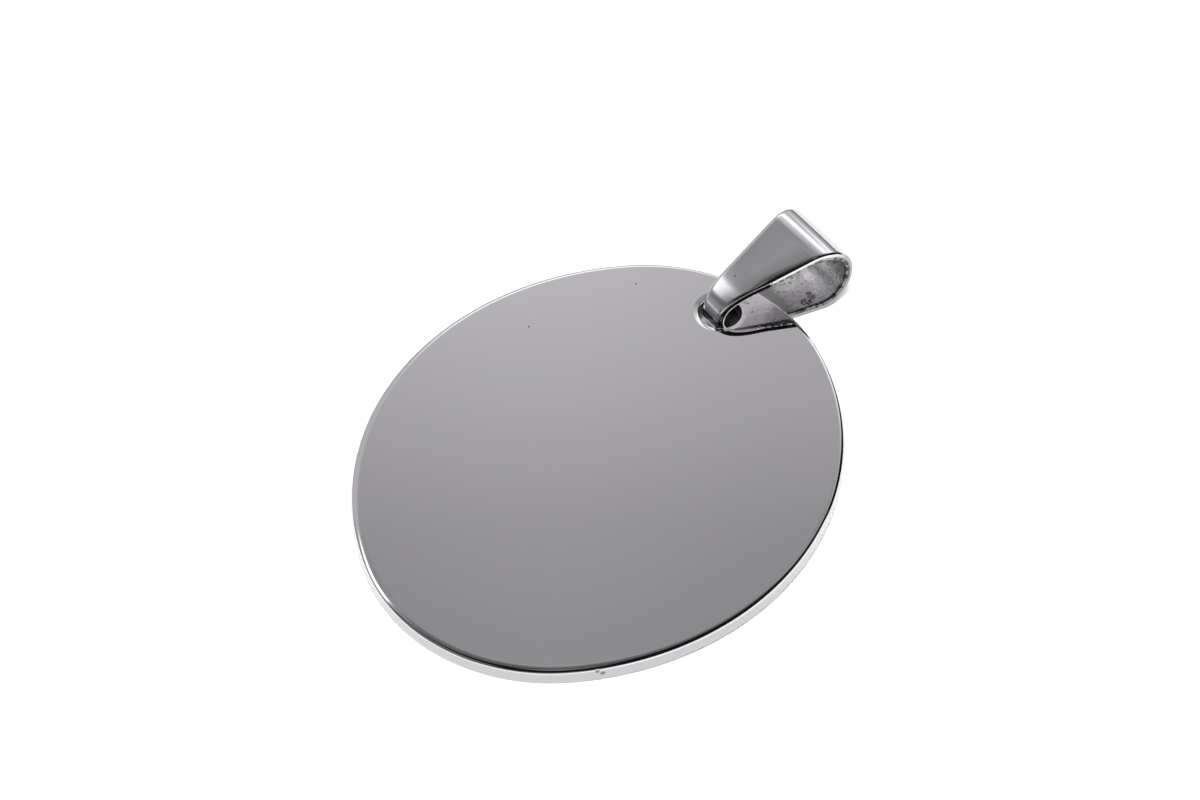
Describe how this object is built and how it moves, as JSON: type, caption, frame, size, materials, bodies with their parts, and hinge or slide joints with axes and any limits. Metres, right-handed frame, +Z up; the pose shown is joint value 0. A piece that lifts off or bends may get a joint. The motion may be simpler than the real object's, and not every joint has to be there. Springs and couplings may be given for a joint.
{
  "type": "oval pendant",
  "caption": "Flat mirror-polished oval plate pendant, hung by its hole from a folded tapered strip bail that takes a chain.",
  "frame": {"origin": "on the ground, below the middle of the outer box of the pendant as it lies", "axes": "+Y along the plate's long axis from its lower end toward the bail, +Z up out of the ground, +X across the plate"},
  "size_m": [0.0304, 0.0426, 0.0053],
  "materials": {
    "polished_plate": "mirror-polished stainless steel",
    "polished_strip": "polished stainless steel strip with rough sides"
  },
  "bodies": {
    "plate": {"plate": "polished_plate"},
    "bail": {"bail": "polished_strip"}
  },
  "joints": [
    {"name": "bail_swing", "type": "hinge", "parent": "plate", "child": "bail", "pos_m": [0.0012, 0.01475, 0.0019], "axis": [0.9272, -0.3746, 0], "range_deg": [0, 30]}
  ]
}
